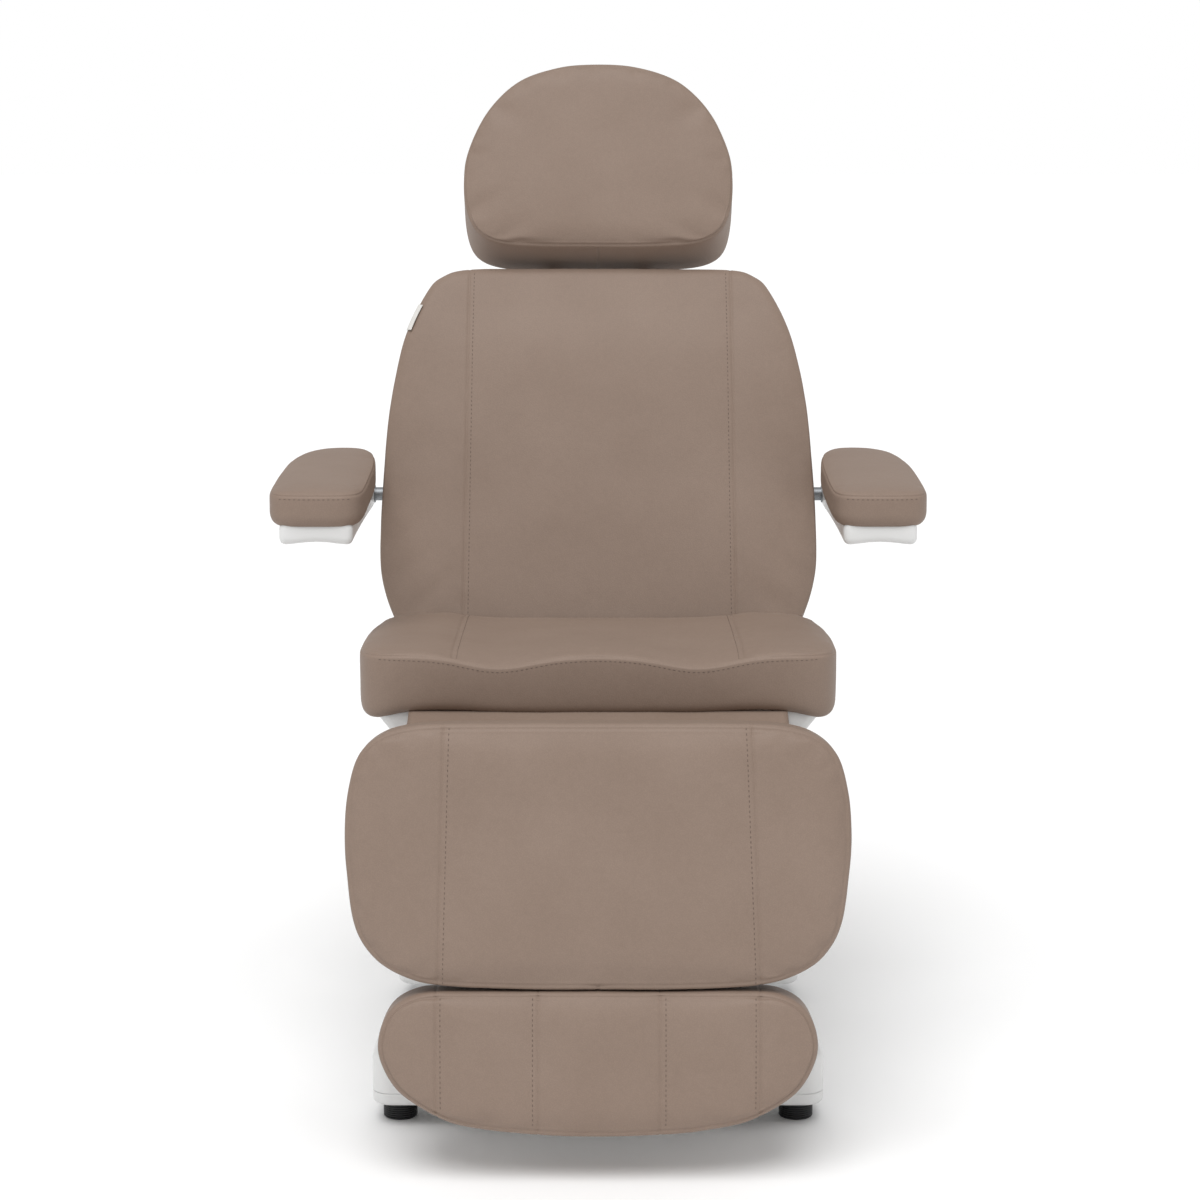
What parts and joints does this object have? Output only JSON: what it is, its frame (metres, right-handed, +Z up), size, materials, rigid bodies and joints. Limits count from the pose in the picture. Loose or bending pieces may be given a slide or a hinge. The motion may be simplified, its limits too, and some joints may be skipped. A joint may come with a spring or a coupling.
{
  "type": "electric beauty chair",
  "caption": "Upholstered treatment chair on a lifting column, with reclining back, sliding tilting headrest, swing-up armrests, lifting legrest and pull-out footrest.",
  "frame": {"origin": "on the floor under the lifting column, at the middle of the chair's box", "axes": "+Z up, the sitter faces -Y, +X to the right as seen from the front"},
  "size_m": [0.882, 1.0511, 1.398],
  "materials": {
    "upholstery": "soft satin leatherette",
    "white_plastic": "satin",
    "frame_steel": "powder coat",
    "bright_steel": "ground",
    "bar_steel": "satin",
    "plywood": "bare",
    "dark_plastic": "moulded",
    "slide_plastic": "moulded",
    "foot_rubber": "matte"
  },
  "bodies": {
    "base": {"base_legs": "frame_steel", "base_spine": "frame_steel", "levelling_pads": "foot_rubber", "levelling_screws": "bright_steel", "base_cover": "white_plastic", "power_inlet": "dark_plastic", "control_box": "dark_plastic", "column_outer": "frame_steel", "column_guide_pads": "slide_plastic", "column_lower_cover": "white_plastic", "lift_actuator": "dark_plastic"},
    "seat": {"column_inner": "frame_steel", "column_slide_shoes": "slide_plastic", "column_upper_cover": "white_plastic", "lift_rod": "bright_steel", "seat_plate": "frame_steel", "seat_rails": "frame_steel", "seat_cross_tubes": "frame_steel", "seat_panel": "plywood", "seat_cushion": "upholstery", "seat_skirt_right": "white_plastic", "seat_skirt_left": "white_plastic", "gap_flap": "upholstery", "leg_hinge_brackets": "frame_steel", "leg_hinge_pins": "bright_steel", "back_hinge_brackets": "frame_steel", "back_hinge_pins": "bright_steel", "back_actuator": "dark_plastic", "leg_actuator": "dark_plastic"},
    "back_rod": {"back_actuator_rod": "bright_steel"},
    "leg_rod": {"leg_actuator_rod": "bright_steel"},
    "backrest": {"back_cushion": "upholstery", "back_panel": "plywood", "back_rails": "frame_steel", "back_cross_tubes": "frame_steel", "back_crank": "frame_steel", "armrest_bar": "bar_steel", "bar_clamps": "frame_steel", "headrest_guides": "frame_steel", "headrest_guide_bushes": "slide_plastic"},
    "headrest_carrier": {"headrest_yoke": "bright_steel"},
    "headrest": {"headrest_cushion": "upholstery", "headrest_panel": "plywood", "headrest_hinge": "frame_steel"},
    "armrest_left": {"armrest_pad_left": "upholstery", "armrest_shell_left": "white_plastic", "armrest_hub_left": "bright_steel"},
    "armrest_right": {"armrest_pad_right": "upholstery", "armrest_shell_right": "white_plastic", "armrest_hub_right": "bright_steel"},
    "legrest": {"leg_cushion": "upholstery", "leg_panel": "plywood", "leg_rails": "frame_steel", "leg_cross_bars": "frame_steel", "leg_crank": "frame_steel", "footrest_guides": "frame_steel"},
    "footrest": {"footrest_cushion": "upholstery", "footrest_panel": "plywood", "footrest_plate": "frame_steel", "footrest_rods": "bright_steel"}
  },
  "joints": [
    {"name": "seat_lift", "type": "slide", "parent": "base", "child": "seat", "axis": [0, 0, 1], "range_m": [0, 0.25]},
    {"name": "back_recline", "type": "hinge", "parent": "seat", "child": "backrest", "pos_m": [0, 0.1865, 0.555], "axis": [-1, 0, 0], "range_deg": [-8, 69]},
    {"name": "leg_lift", "type": "hinge", "parent": "seat", "child": "legrest", "pos_m": [0, -0.3545, 0.532], "axis": [-1, 0, 0], "range_deg": [0, 82], "deforming": ["gap_flap"]},
    {"name": "footrest_slide", "type": "slide", "parent": "legrest", "child": "footrest", "axis": [0, -0.1392, -0.9903], "range_m": [0, 0.15]},
    {"name": "headrest_height", "type": "slide", "parent": "backrest", "child": "headrest_carrier", "axis": [0, 0.3584, 0.9336], "range_m": [0, 0.1]},
    {"name": "headrest_tilt", "type": "hinge", "parent": "headrest_carrier", "child": "headrest", "pos_m": [0, 0.45255, 1.10841], "axis": [-1, 0, 0], "range_deg": [-12, 45]},
    {"name": "armrest_left_swing", "type": "hinge", "parent": "backrest", "child": "armrest_left", "pos_m": [0, 0.33663, 0.76194], "axis": [-1, 0, 0], "range_deg": [-69, 90]},
    {"name": "armrest_right_swing", "type": "hinge", "parent": "backrest", "child": "armrest_right", "pos_m": [0, 0.33663, 0.76194], "axis": [-1, 0, 0], "range_deg": [-69, 90]},
    {"name": "back_rod_stroke", "type": "slide", "parent": "seat", "child": "back_rod", "axis": [0, -1, 0], "range_m": [-0.012, 0.098]},
    {"name": "leg_rod_stroke", "type": "slide", "parent": "seat", "child": "leg_rod", "axis": [0, -1, 0], "range_m": [0, 0.1055]}
  ],
  "couplings": [
    {"joint": "back_rod_stroke", "follows": "back_recline", "m_per_rad": 0.081},
    {"joint": "leg_rod_stroke", "follows": "leg_lift", "m_per_rad": 0.0734}
  ]
}
